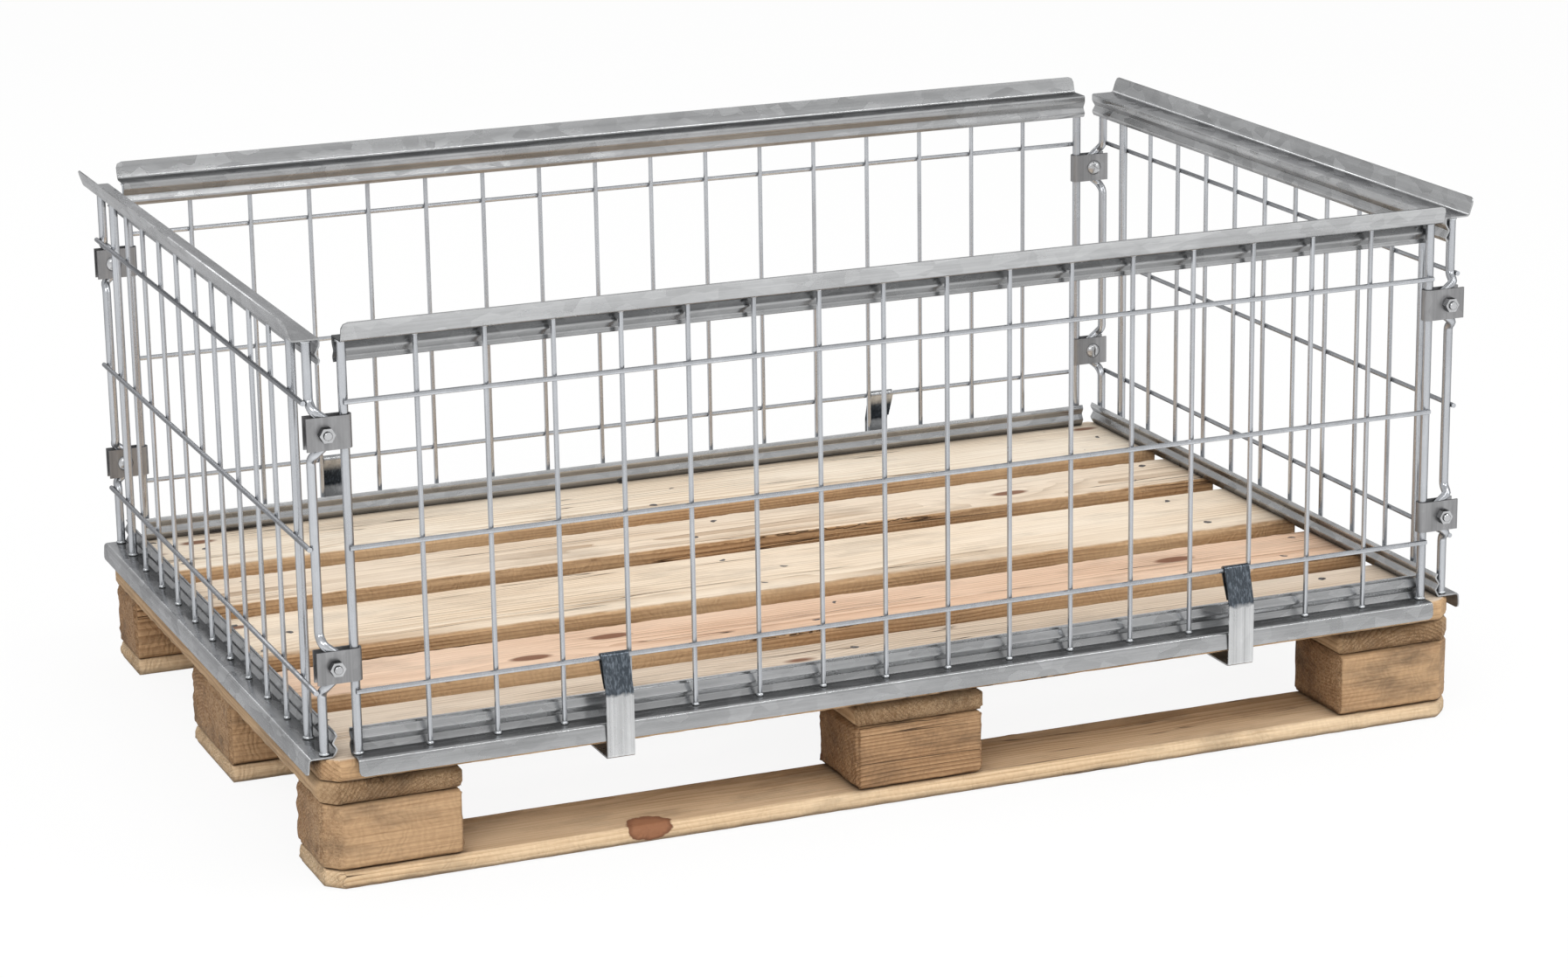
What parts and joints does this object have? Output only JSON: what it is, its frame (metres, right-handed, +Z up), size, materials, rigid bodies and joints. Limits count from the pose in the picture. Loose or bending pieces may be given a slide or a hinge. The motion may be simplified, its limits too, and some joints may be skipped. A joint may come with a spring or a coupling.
{
  "type": "wire mesh pallet collar",
  "caption": "Folding steel wire-mesh collar with rolled sheet rails, bolted corner hinge straps and spring clips, standing on a wooden block pallet.",
  "frame": {"origin": "middle of the pallet's underside, on the ground", "axes": "+X along the long walls, +Y from the front to the back, +Z up"},
  "size_m": [1.2246, 0.8246, 0.5375],
  "materials": {
    "deck_wood": "sawn",
    "sawn_wood": "sawn",
    "block_wood": "rough",
    "rail_zinc": "galvanised",
    "wire_zinc": "galvanised",
    "strap_zinc": "satin",
    "bolt_zinc": "bright",
    "spring_steel": "bright"
  },
  "bodies": {
    "pallet": {"back_bottom_board": "sawn_wood", "back_centre_block": "block_wood", "back_left_block": "block_wood", "back_right_block": "block_wood", "centre_cross_board": "sawn_wood", "deck_board_1": "deck_wood", "deck_board_2": "deck_wood", "deck_board_3": "deck_wood", "deck_board_4": "deck_wood", "deck_board_5": "deck_wood", "front_bottom_board": "sawn_wood", "front_centre_block": "block_wood", "front_left_block": "block_wood", "front_right_block": "block_wood", "left_cross_board": "sawn_wood", "middle_bottom_board": "sawn_wood", "middle_centre_block": "block_wood", "middle_left_block": "block_wood", "middle_right_block": "block_wood", "right_cross_board": "sawn_wood"},
    "collar": {"back_bottom_rail": "rail_zinc", "back_left_lower_bolt": "bolt_zinc", "back_left_lower_nut": "bolt_zinc", "back_left_lower_strap": "strap_zinc", "back_left_upper_bolt": "bolt_zinc", "back_left_upper_nut": "bolt_zinc", "back_left_upper_strap": "strap_zinc", "back_right_lower_bolt": "bolt_zinc", "back_right_lower_nut": "bolt_zinc", "back_right_lower_strap": "strap_zinc", "back_right_upper_bolt": "bolt_zinc", "back_right_upper_nut": "bolt_zinc", "back_right_upper_strap": "strap_zinc", "back_top_rail": "rail_zinc", "back_wire_panel": "wire_zinc", "front_bottom_rail": "rail_zinc", "front_left_lower_bolt": "bolt_zinc", "front_left_lower_nut": "bolt_zinc", "front_left_lower_strap": "strap_zinc", "front_left_upper_bolt": "bolt_zinc", "front_left_upper_nut": "bolt_zinc", "front_left_upper_strap": "strap_zinc", "front_right_lower_bolt": "bolt_zinc", "front_right_lower_nut": "bolt_zinc", "front_right_lower_strap": "strap_zinc", "front_right_upper_bolt": "bolt_zinc", "front_right_upper_nut": "bolt_zinc", "front_right_upper_strap": "strap_zinc", "front_top_rail": "rail_zinc", "front_wire_panel": "wire_zinc", "left_bottom_rail": "rail_zinc", "left_top_rail": "rail_zinc", "left_wire_panel": "wire_zinc", "right_bottom_rail": "rail_zinc", "right_top_rail": "rail_zinc", "right_wire_panel": "wire_zinc"},
    "front_left_clip": {"front_left_clip": "spring_steel"},
    "front_right_clip": {"front_right_clip": "spring_steel"},
    "back_right_clip": {"back_right_clip": "spring_steel"},
    "back_left_clip": {"back_left_clip": "spring_steel"}
  },
  "joints": [
    {"name": "collar_lift", "type": "slide", "parent": "pallet", "child": "collar", "axis": [0, 0, 1], "range_m": [0, 0.0085]},
    {"name": "front_left_clip_swing", "type": "hinge", "parent": "collar", "child": "front_left_clip", "pos_m": [-0.3123, -0.3964, 0.1892], "axis": [-1, 0, 0], "range_deg": [0, 165]},
    {"name": "front_right_clip_swing", "type": "hinge", "parent": "collar", "child": "front_right_clip", "pos_m": [0.3437, -0.3964, 0.1892], "axis": [-1, 0, 0], "range_deg": [0, 165]},
    {"name": "back_right_clip_swing", "type": "hinge", "parent": "collar", "child": "back_right_clip", "pos_m": [0.3123, 0.3964, 0.1892], "axis": [1, 0, 0], "range_deg": [0, 165]},
    {"name": "back_left_clip_swing", "type": "hinge", "parent": "collar", "child": "back_left_clip", "pos_m": [-0.3437, 0.3964, 0.1892], "axis": [1, 0, 0], "range_deg": [0, 165]}
  ]
}
